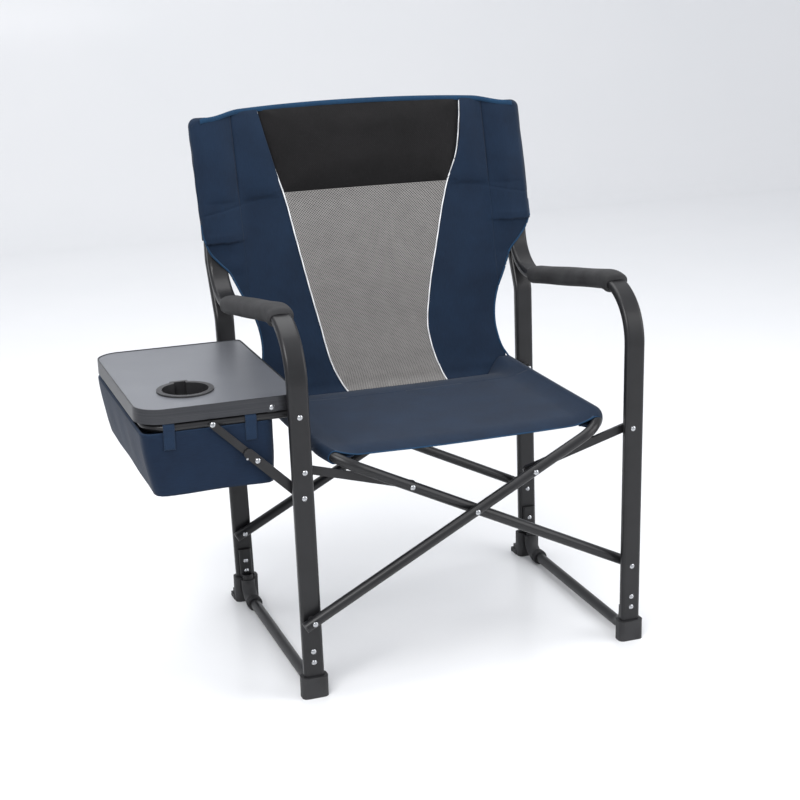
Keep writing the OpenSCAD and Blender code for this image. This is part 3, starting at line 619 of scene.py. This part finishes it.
def back_point(x, z, out=0.0):
    """A point of the back's front surface at width x and height z. The cloth bellies rearwards a
    little between its edges, over lays its outer part on the upright's front, and out stands it
    forwards of that, square to the surface."""
    x, z = np.broadcast_arrays(np.asarray(x, float), np.asarray(z, float))
    y = table_curve(BACK_Y, z)
    slope = table_curve(BACK_Y, z + 1) - y
    across = np.clip(np.abs(x) / 262.0, 0, 1)
    belly = 9.0 * (1 - across**2) * smooth_step(z, 420, 520) * (1 - 0.5 * smooth_step(z, 700, 900))
    upright = 526.4 + np.clip(z - 713, 0, None) * 0.2754 - 18.2 + 2.1 * smooth_step(z, 700, 722)
    bend = 433.4 + np.sqrt(np.clip(6400 - np.clip(688.4 - z, 0, 79) ** 2, 0, None))
    front = np.where(z > 700, upright, bend)
    over = smooth_step(np.abs(x), 238, 296) * smooth_step(z, 636, 668)
    wrap = 11.0 * np.clip((np.abs(x) - 324) / 11.0, 0, 1) ** 2.2 * smooth_step(z, 690, 712)
    y = (y + belly) * (1 - over) + front * over + wrap - out / np.sqrt(1 + slope**2)
    return np.stack((x, y, z + out * slope / np.sqrt(1 + slope**2)), axis=-1)


def rear_seat():
    """The stretch from the end of the sleeves to the crease: x runs across, s from front to back."""
    s = np.linspace(0, 1, 60)[None, :]
    x = np.linspace(-1, 1, 200)[:, None] * (268.0 - 5.0 * s)
    end = back_point(x, crease_height(x))
    start = SLEEVE_END - 2.0
    y = start + s * (end[..., 1] - start)
    z = seat_top(x) + (end[..., 2] - seat_top(x)) * s**2.2
    return np.stack((x, y, z), axis=-1)


rear_part = thicken(surface("seat_cloth_rear", rear_seat(), NAVY), CLOTH_MM)
print("waist half width", round(float(table_curve(BACK_EDGE, 500.0))), "mm")

# %% [markdown]
# Between the pipings the back is breathable mesh below and a padded headrest above. Outside them
# it is the same cloth as the seat, padded lightly beside the headrest. The panels are cut along
# the pipings, so each is its own surface between two outline curves.


# %% Back panels
heights = np.linspace(0, 1, 190)


def cloth_area(points):
    """Area of a grid of points in square metres: half the cross product of each cell's diagonals, summed."""
    a = points[1:, 1:] - points[:-1, :-1]
    b = points[:-1, 1:] - points[1:, :-1]
    return float(0.5 * np.linalg.norm(np.cross(a, b), axis=-1).sum() / 1e6)


def back_panel(name, inner, outer, low, material, bulge, columns=64, side=1):
    """A panel between two outline curves: x runs from inner to outer, z from low to the top edge.
    x and z depend on each other, so they are found in turn. bulge(x, z) stands the cloth forwards."""
    t = np.linspace(0, 1, columns)[:, None]
    s = heights[None, :]
    z = low + s * (930.0 - low) + 0 * t
    for _ in range(3):
        x = inner(z) + t * (outer(z) - inner(z))
        base = np.maximum(low, crease_height(x))
        z = base + s * (top_of_back(x) - base)
    x = inner(z) + t * (outer(z) - inner(z))
    points = back_point(side * x, z, bulge(x, z))
    cloth_area(points)
    return surface(name, points, material, flip=side < 0)


SEAM_X = 256.0  # the seam between the side panel and the wing over the upright


def pad_bulge(x, z):
    """Light filling beside the headrest: a pillow between the piping, the top hem and two seams."""
    near_pillow = np.sin(np.clip((x - 172) / 84, 0, 1) * math.pi)
    far_pillow = np.sin(np.clip((x - SEAM_X) / 70, 0, 1) * math.pi) * 0.28
    edge = np.where(x < SEAM_X, near_pillow, far_pillow)
    up = np.clip(np.sin(np.clip((z - 774) / 165, 0, 1) * math.pi), 0, 1) ** 0.42
    body = 12.0 * np.abs(edge) ** 0.6 * up
    seam = -1.1 * np.exp(-((x - SEAM_X) / 1.6) ** 2) * smooth_step(z, 766, 772)
    cross_seam = -1.3 * np.exp(-((z - (781 - 0.19 * (x - 173))) / 1.8) ** 2)
    wrinkle = 0.5 * np.sin(x / 9.0 + z / 31.0) * np.exp(-((z - 790) / 26.0) ** 2)
    return body + seam + cross_seam + wrinkle


parts_of_back, wings = [], []
for side, label, pipe in ((-1, "left", PIPE_LEFT), (1, "right", PIPE_RIGHT)):
    panel = back_panel("back_side_" + label, lambda z, p=pipe: table_curve(p, z),
                       lambda z: np.minimum(table_curve(BACK_EDGE, z), SEAM_X + 0 * z), 401.0, NAVY,
                       pad_bulge, side=side)
    parts_of_back.append(thicken(panel, CLOTH_MM))
    wing = back_panel("back_wing_" + label, lambda z: SEAM_X + 0 * z,
                      lambda z: np.maximum(table_curve(BACK_EDGE, z), SEAM_X), 568.0, NAVY,
                      pad_bulge, columns=48, side=side)
    wings.append(thicken(wing, CLOTH_MM))



def between_pipings(z, t, lap=0.0):
    """Width x at height z: t = 0 on the left piping, 1 on the right one, and lap past each."""
    left, right = table_curve(PIPE_LEFT, z), table_curve(PIPE_RIGHT, z)
    return -left - lap + t * (left + right + 2 * lap)


def mesh_grid(low, high, columns, rows, out, name, material, lap=0.0):
    """A panel between the two pipings from height low to height high, and lap past each piping."""
    t = np.linspace(0, 1, columns)[:, None]
    s = np.linspace(0, 1, rows)[None, :]
    x = between_pipings(low + s * (780.0 - low), t, lap)
    z = low + s * (high(x) - low)
    x = between_pipings(z, t, lap)
    points = back_point(x, z, out(x, z))
    cloth_area(points)
    return surface(name, points, material)


air_grid = mesh_grid(401.0, lambda x: 782.0 + 0 * x, 70, 120, lambda x, z: 0.6 + 0 * x,
                     "air_mesh_panel", MESH)
air_panel = thicken(air_grid, 1.6)
parts_of_back.append(air_panel)
print("back panels", [p.name for p in parts_of_back])

# %% [markdown]
# The headrest is a soft pad sewn in along the pipings, the top hem and a bottom seam. A cloth
# simulation gives it a pillow's shape: a thin flat copy is blown up by air pressure inside it,
# and how far any point may move is capped so that it keeps its outline.


# %% Headrest
def closed_pad(name, low, high, thick, material, columns=60, rows=40):
    """A flat closed pad between the pipings: a front and a back sheet that meet round the rim."""
    t = np.linspace(0, 1, columns)[:, None]
    s = np.linspace(0, 1, rows)[None, :]
    x = between_pipings(low + s * (high - low), t, lap=-2)
    z = low + s * (np.minimum(high, top_of_back(x) - 3) - low)
    x = between_pipings(z, t, lap=-2)
    rim = np.minimum(np.minimum(t, 1 - t) * columns, np.minimum(s, 1 - s) * rows) / 3.0
    swell = thick * np.sqrt(np.clip(rim, 0, 1)) + 0.2
    front, rear = back_point(x, z, 1.2 + swell), back_point(x, z, 1.0)
    ids = np.arange(columns * rows).reshape(columns, rows)
    quads = np.stack((ids[:-1, :-1], ids[1:, :-1], ids[1:, 1:], ids[:-1, 1:]), axis=-1).reshape(-1, 4)
    edge = np.concatenate((ids[:-1, 0], ids[-1, :-1], ids[:0:-1, -1], ids[0, :0:-1]))
    after = np.roll(edge, -1)
    strip = np.stack((edge, edge + columns * rows, after + columns * rows, after), axis=-1)
    faces = np.vstack((quads, quads[:, ::-1] + columns * rows, strip))
    points = np.vstack((front.reshape(-1, 3), rear.reshape(-1, 3)))
    flat = np.stack((np.tile(x.reshape(-1), 2), np.tile(z.reshape(-1), 2)), axis=1) / 1000
    pad = mesh_piece(name, points, faces, flat[faces.reshape(-1)], material)
    sewn = pad.vertex_groups.new(name="sewn")
    sewn.add(np.concatenate((edge, edge + columns * rows)).tolist(), 1.0, "REPLACE")
    return pad


REAR_GIVE = 0.06


def inflate(piece, pressure, cap_mm, frames=20):
    """Blows a closed pad up with Cloth. The rear sheet, the second half of the points, lies on its
    backing, so only REAR_GIVE of its movement is kept, and no point moves further than cap_mm."""
    rest = np.empty(len(piece.data.vertices) * 3)
    piece.data.vertices.foreach_get("co", rest)
    cloth = piece.modifiers.new("air", "CLOTH")
    cloth.settings.use_pressure = True
    cloth.settings.uniform_pressure_force = pressure
    cloth.settings.effector_weights.gravity = 0
    cloth.settings.tension_stiffness = 25
    cloth.settings.vertex_group_mass = "sewn"
    cloth.point_cache.frame_end = frames
    scene = bpy.context.scene
    for frame_number in range(1, frames + 1):
        scene.frame_set(frame_number)
    evaluated = piece.evaluated_get(bpy.context.evaluated_depsgraph_get())
    moved = np.empty(len(evaluated.data.vertices) * 3)
    evaluated.data.vertices.foreach_get("co", moved)
    piece.modifiers.remove(cloth)
    scene.frame_set(1)
    step = (moved - rest).reshape(-1, 3)
    step[len(step) // 2:] *= REAR_GIVE
    far = np.linalg.norm(step, axis=1, keepdims=True)
    step *= np.minimum(1, cap_mm / 1000 / np.maximum(far, 1e-9))
    piece.data.vertices.foreach_set("co", (rest.reshape(-1, 3) + step).ravel())
    piece.data.update()
    print(piece.name, "swelled by up to", round(float(far.max()) * 1000, 1), "mm, kept to", cap_mm)
    return piece


backing_grid = mesh_grid(781.0, lambda x: top_of_back(x) - 1.0, 70, 60, lambda x, z: 0 * x - 1.6,
                         "headrest_backing", NAVY, lap=7.0)
backing = thicken(backing_grid, 1.4)
parts_of_back.append(backing)
headrest = closed_pad("headrest_pad_cloth", 781.0, 950.0, 7.0, BLACK)
inflate(headrest, 3.5, 9.0)
smooth = headrest.modifiers.new("smooth", "SUBSURF")
smooth.levels = smooth.render_levels = 1
parts_of_back.append(headrest)

# %% [markdown]
# White piping runs down both joins, a folded tape edges the top, and each side edge of the back
# has a rolled hem. They are thin bars along the same outline curves.

# %% Piping and hems of the back
pipings = []
for side, label, pipe in ((-1, "left", PIPE_LEFT), (1, "right", PIPE_RIGHT)):
    z = np.linspace(402, 944, 260)
    x = side * table_curve(pipe, z)
    line = back_point(x, np.minimum(z, top_of_back(x) - 1.5), 2.0 + 0.8 * smooth_step(z, 775, 800))
    pipings.append(seam_tube("piping_" + label, line, 1.35, PIPING))
    z = np.linspace(402, 735, 150)
    edge = back_point(side * table_curve(BACK_EDGE, z), z, 0.5)
    parts_of_back.append(seam_tube("edge_hem_" + label, edge, 2.0, HEM))
x = np.linspace(-318, 318, 220)
top_line = back_point(x, top_of_back(x), 2.0)
inward = np.tile([0.0, -0.26, -0.965], (len(x), 1))
top_hem = binding("top_hem", top_line, inward, 9.0, 2.6, HEM)
parts_of_back += [top_hem] + pipings
print("pipings and hems", [p.name for p in pipings])

# %% [markdown]
# At each side of the top half the cloth closes round its upright as a sleeve. It is made apart
# from the middle, because when the chair folds each sleeve stays with its own upright.


# %% Upright sleeves
def sleeve(side):
    """Flat-oval loop carried up the upright: about 47 wide, 26 thick, shrinking to a rounded top."""
    top = 0.93 + 0.07 * np.sin(np.linspace(0, math.pi / 2, 14))[1:]
    rise = np.concatenate((np.linspace(0, 0.93, 70), top))
    angle = np.linspace(0, 2 * math.pi, 56, endpoint=False)
    c, s = np.cos(angle), np.sin(angle)
    half_w, half_t = 24.5, 13.2
    loop_x = half_w * np.sign(c) * np.abs(c) ** 0.62
    loop_y = half_t * np.sign(s) * np.abs(s) ** 0.75
    z = 706 + rise * (927.5 - 706)
    shrink = np.where(rise > 0.93, np.sqrt(np.clip(1 - ((rise - 0.93) / 0.07) ** 2, 0.0004, 1)), 1)
    lean = 224 * math.tan(math.radians(15.4))
    centre_y = np.interp(z, [690, 706, 716, 940], [526, 526.4, 527.4, 527.4 + lean])
    centre_x = 302 + z * math.tan(math.radians(0.7))
    fold = 0.35 * np.sin(z / 7.0)[:, None] * np.cos(angle * 3)[None]
    px = side * (centre_x[:, None] + (loop_x[None] + fold) * (0.35 + 0.65 * shrink[:, None]) * 0.955)
    py = centre_y[:, None] + (loop_y[None] + fold) * shrink[:, None]
    pz = z[:, None] - 0.26 * (py - centre_y[:, None])
    label = "left" if side < 0 else "right"
    points = np.stack((px, py, pz), axis=-1)
    return surface("upright_sleeve_" + label, points, NAVY, around=True, flip=side > 0)


sleeves = [thicken(sleeve(-1), 1.2), thicken(sleeve(1), 1.2)]

# %% [markdown]
# The armrests are foam tubes slipped over the metal. The foam is thickest along the top, is cut
# square at its ends and rounds over slightly at each cut. Its surface is matte and finely open.


# %% Arm pads
def arm_line():
    """Centre line of the covered tube: the end of the front bend, then the straight to the back."""
    fall = math.radians(9.3)
    corner = np.array([669 * math.tan(math.radians(1)), 669.0])
    reach = 100 * math.tan((math.radians(99.3) - math.radians(1.0)) / 2)
    start = corner + reach * np.array([math.cos(fall), -math.sin(fall)])
    centre = start - 100 * np.array([math.sin(fall), math.cos(fall)])
    back_turn = np.radians(np.linspace(24, 0, 24))
    bend = centre + 100 * np.stack((np.sin(fall - back_turn), np.cos(fall - back_turn)), axis=1)
    straight = start + np.linspace(0, 302, 80)[1:, None] * np.array([math.cos(fall), -math.sin(fall)])
    return np.vstack((bend, straight))


def arm_pad(side, label):
    """An oval ring carried along the arm line: 46 wide, 34 tall, closed in to the tube at both ends."""
    line = arm_line()
    ahead = np.gradient(line, axis=0)
    ahead /= np.linalg.norm(ahead, axis=1)[:, None]
    over = np.stack((-ahead[:, 1], ahead[:, 0]), axis=1)
    walk = np.concatenate(([0], np.cumsum(np.linalg.norm(np.diff(line, axis=0), axis=1))))
    near_end = np.minimum(walk, walk[-1] - walk)
    full = np.sqrt(np.clip(1 - (1 - np.clip(near_end / 5.0, 0, 1)) ** 2, 0, 1))
    angle = np.linspace(0, 2 * math.pi, 64, endpoint=False)
    c, s = np.cos(angle), np.sin(angle)
    wide = 18.6 + (4.6 + 0.5 * np.sin(walk / 41.0)) * full
    tall = 8.6 + (8.6 + 0.4 * np.sin(walk / 29.0 + 1)) * full
    px = wide[:, None] * (np.sign(c) * np.abs(c) ** 0.72)[None]
    up = tall[:, None] * (np.sign(s) * np.abs(s) ** 0.8)[None]
    y = line[:, 0:1] + up * over[:, 0:1]
    z = line[:, 1:2] + up * over[:, 1:2]
    x = side * (302 + z * math.tan(math.radians(0.7))) + side * px
    return surface("arm_foam_" + label, np.stack((x, y, z), axis=-1), FOAM, around=True, flip=side > 0)


arm_pads = [arm_pad(-1, "left"), arm_pad(1, "right")]
print("arm pads", [len(p.data.vertices) for p in arm_pads])

# %% [markdown]
# The cooler bag hangs from the table's loop. It is an open box of soft padded cloth: its walls
# lean in towards a smaller bottom, its corners are rounded, and its sides bow a little.


# %% Cooler bag
def rounded_ring(x0, x1, y0, y1, radius, n=33):
    """4n points spread evenly round a rectangle with round corners, counter-clockwise."""
    ring = []
    near_x, far_x, near_y, far_y = x0 + radius, x1 - radius, y0 + radius, y1 - radius
    corners = ((far_x, far_y, 0), (near_x, far_y, 90), (near_x, near_y, 180), (far_x, near_y, 270))
    for cx, cy, start in corners:
        a = np.radians(np.linspace(start, start + 90, 9))
        ring.append(np.stack((cx + radius * np.cos(a), cy + radius * np.sin(a)), axis=1))
    ring = np.vstack(ring)
    ring = np.vstack((ring, ring[:1]))
    walk = np.concatenate(([0], np.cumsum(np.linalg.norm(np.diff(ring, axis=0), axis=1))))
    even = np.linspace(0, walk[-1], 4 * n, endpoint=False)
    return np.stack((np.interp(even, walk, ring[:, 0]), np.interp(even, walk, ring[:, 1])), axis=1)


def bag_shell():
    """Loops lofted from the mouth down the walls and in over the bottom. The walls bow by a sine
    of height and of place."""
    rows = []
    for k in np.linspace(0, 1, 44):
        wall = min(k / 0.78, 1.0)
        z = 491.0 - wall * 105.0
        inset = 9.0 * wall**1.4
        ring = rounded_ring(-562 + inset * 1.9, -345 - inset * 0.2,
                            29.5 + inset * 0.15, 445 - inset * 0.5, 16.0)
        middle = np.array([-452.0, 238.0])
        if k > 0.78:
            close = (k - 0.78) / 0.22
            ring = middle + (ring - middle) * (1 - close)
            z = 386.0 - 5.0 * math.sin(min(close * 3.0, 1.0) * math.pi / 2)
        t = np.linspace(0, 2 * math.pi, len(ring), endpoint=False)
        outward = (ring - middle) / np.maximum(np.linalg.norm(ring - middle, axis=1), 1)[:, None]
        swell = math.sin(math.pi * wall)
        bow = 1.6 * swell * (0.6 + 0.4 * np.sin(t * 5 + wall * 2)) - swell**2 * np.sin(t * 11 + 1)
        ring = ring + outward * (bow - 1.2)[:, None]
        rows.append(np.column_stack((ring, np.full(len(ring), z) + 0.8 * np.sin(t * 7) * wall)))
    return np.array(rows)


bag_rows = bag_shell()
bag = thicken(surface("cooler_bag_cloth", bag_rows, BAG, around=True, flip=True), 2.4, offset=-1.0)
mouth = bag_rows[0]
mouth_tape = seam_tube("bag_mouth_tape", np.vstack((mouth, mouth[:1])) + [0, 0, 0.5], 2.0, STRAP)
print("bag", len(bag.data.vertices), "points")


# %% [markdown]
# Short loops of webbing go over the table's support loop and are sewn to the bag's walls.
# Webbing is thick and holds its bend, so each is a swept flat strip.


# %% Bag straps
LOOP_Z = 499.5  # height of the centre of the table's support loop


def strap(name, x, tube_y, wall_y, toward):
    """A strip 19 wide: up the wall, then over the tube along an arc in Y and Z."""
    first, last = (200, -20) if toward < 0 else (-20, 200)
    over = np.radians(np.linspace(first, last, 26))
    top = np.stack((tube_y + 8.4 * np.cos(over), LOOP_Z + 8.4 * np.sin(over)), axis=1)
    down = np.stack((np.full(10, wall_y), np.linspace(464, 489, 10)), axis=1)
    line = np.vstack((down, top))
    width = np.linspace(-9.5, 9.5, 8)
    along_y, along_z = np.repeat(line[:, 0:1], 8, 1), np.repeat(line[:, 1:2], 8, 1)
    points = np.stack((np.tile(x + width, (len(line), 1)), along_y, along_z), axis=-1)
    return thicken(surface(name, points, STRAP), 1.3)


straps = []
for x, word in ((-520, "outer"), (-384, "inner")):
    straps.append(strap("bag_strap_front_" + word, x, 34.0, 26.8, -1))
    straps.append(strap("bag_strap_rear_" + word, x, 440.0, 446.3, 1))
print("straps", len(straps))

# %% [markdown]
# The chair folds, so each piece of cloth is fastened to the part it hangs from. The seat is sewn to a
# rail on each cross frame, but it and its hem stay fixed in the scene. The back hangs between the two
# uprights and goes with the left frame; each sleeve, wing and arm pad goes with its own side's frame,
# and the bag, its tape and its straps go with the table.

# %% What each piece moves with
for piece in (seat, seat_hem, rear_part):
    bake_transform(piece)
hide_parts("seat_sling")

for piece in parts_of_back:
    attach(piece, "left_frame")
    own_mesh(piece)
for piece, body in zip(sleeves + wings, ("left_frame", "right_frame") * 2):
    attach(piece, body)
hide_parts("back_sling")
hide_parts("headrest_pad")
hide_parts("mesh_panel")
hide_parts("piping")
for piece, side in zip(arm_pads, ("left", "right")):
    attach(piece, side + "_frame")
    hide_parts("arm_pad_" + side)
for piece in (bag, mouth_tape):
    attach(piece, "table")
    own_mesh(piece)
for piece in straps:
    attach(piece, "table")
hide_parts("cooler_bag")
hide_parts("bag_tabs")

# %% [markdown]
# The seat's area is printed, added up from its own faces. The seat's is a round figure that leaves
# out most of the cloth round the rails, and the printed area shows how much more the surface has.
# The panels of the back are not rectangles, so their areas are added up from their own faces as they
# are built.


# %% Area of the seat
print("seat area", round(cloth_area(seat_rows), 3), "m2")

# %% [markdown]
# The chair is shown in a white room. One wide floor runs back and curves up into the wall, three
# large soft lights fill it, and the world adds an even grey so that no shadow is black.

# %% Floor and lights
def backdrop():
    """A floor that curves up into a wall: height 0, then a quarter turn of radius 1.2 m, then straight up."""
    run = np.linspace(0, math.pi / 2, 24)
    bend = np.stack((4.0 + 1.2 * np.sin(run), 1.2 - 1.2 * np.cos(run)), axis=1)
    path = np.vstack(([[-14.0, 0.0]], bend, [[5.2, 8.0]]))
    x = np.linspace(-14, 14, 6)
    grid = np.stack(np.broadcast_arrays(x[:, None], path[None, :, 0], path[None, :, 1]), axis=-1)
    return (grid - ZERO) * 1000


floor_finish, floor_shader, w = finish_material("studio_floor")
cloud = noise(w, object_coordinates(w), 1.3)
white = cloud.colours((0.86, 0.87, 0.88), (0.90, 0.90, 0.905))
connect(floor_shader, w, Base_Color=white, Roughness=0.22 + cloud * 0.06)
floor = surface("studio_floor", backdrop(), floor_finish, flip=True)


def soft_light(name, at, aim, size, power, tint=(1.0, 1.0, 1.0)):
    """A square light of side size metres, turned so that it faces from at to aim."""
    data = bpy.data.lights.new(name, "AREA")
    data.shape, data.size, data.energy, data.color = "SQUARE", size, power, tint
    lamp = bpy.data.objects.new(name, data)
    bpy.context.scene.collection.objects.link(lamp)
    lamp.location = at
    lamp.rotation_euler = (Vector(aim) - Vector(at)).to_track_quat("-Z", "Y").to_euler()
    return lamp


soft_light("key", (-1.7, -2.2, 2.9), (0.0, 0.0, 0.45), 1.8, 95)
soft_light("fill", (2.6, -1.7, 1.7), (0.0, 0.0, 0.45), 2.2, 42)
soft_light("above", (0.1, 0.5, 3.3), (0.0, 0.0, 0.3), 2.6, 60)
world = bpy.data.worlds.new("white_room")
bpy.context.scene.world = world
world.use_nodes = True
world.node_tree.nodes["Background"].inputs[0].default_value = (0.93, 0.95, 1.0, 1)
world.node_tree.nodes["Background"].inputs[1].default_value = 0.75
bpy.context.scene.view_settings.view_transform = "Standard"
